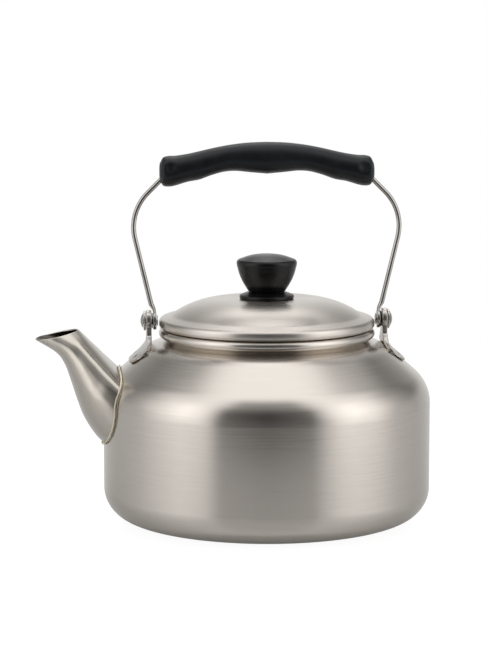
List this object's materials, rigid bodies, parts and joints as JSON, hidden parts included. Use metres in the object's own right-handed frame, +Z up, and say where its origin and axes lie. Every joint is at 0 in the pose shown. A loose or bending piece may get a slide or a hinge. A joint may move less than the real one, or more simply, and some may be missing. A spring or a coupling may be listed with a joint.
{
  "type": "tea kettle",
  "caption": "Stainless tea kettle with a wide drawn body, a short slanted spout, a lift-off domed lid with a black knob, and a wire bail handle with a moulded black grip.",
  "frame": {"origin": "middle of the flat base, on the kettle's axis", "axes": "+Z up along the kettle's axis, -X towards the spout, +Y away from the picture's viewer; the bail turns about the X direction"},
  "size_m": [0.205, 0.17, 0.1953],
  "materials": {
    "brushed_steel": "warm grey stainless, brushed round the axis",
    "polished_steel": "brighter, finely polished stainless",
    "braze_metal": "pale gold filler, satin",
    "black_resin": "black moulded resin, satin",
    "brass": "turned brass",
    "black_nylon": "black nylon, matte"
  },
  "bodies": {
    "kettle": {"kettle_body": "brushed_steel", "spout": "brushed_steel", "spout_braze": "braze_metal", "bail_ear_left": "brushed_steel", "bail_ear_right": "brushed_steel", "bail_rivet_left": "polished_steel", "bail_rivet_right": "polished_steel", "cup_washer_left": "brushed_steel", "cup_washer_right": "brushed_steel", "friction_washer_left": "black_nylon", "friction_washer_right": "black_nylon"},
    "bail": {"bail_wire": "polished_steel", "bail_grip": "black_resin"},
    "lid": {"lid_dome": "brushed_steel", "lid_ring": "brushed_steel", "knob_seat": "black_resin", "lid_knob": "black_resin", "knob_insert": "brass", "knob_screw": "polished_steel", "screw_washer": "polished_steel"}
  },
  "joints": [
    {"name": "bail_swing", "type": "hinge", "parent": "kettle", "child": "bail", "pos_m": [0, 0, 0.10301], "axis": [1, 0, 0], "range_deg": [-100, 100]},
    {"name": "lid_lift", "type": "slide", "parent": "kettle", "child": "lid", "axis": [0, 0, 1], "range_m": [0, 0.035]}
  ]
}
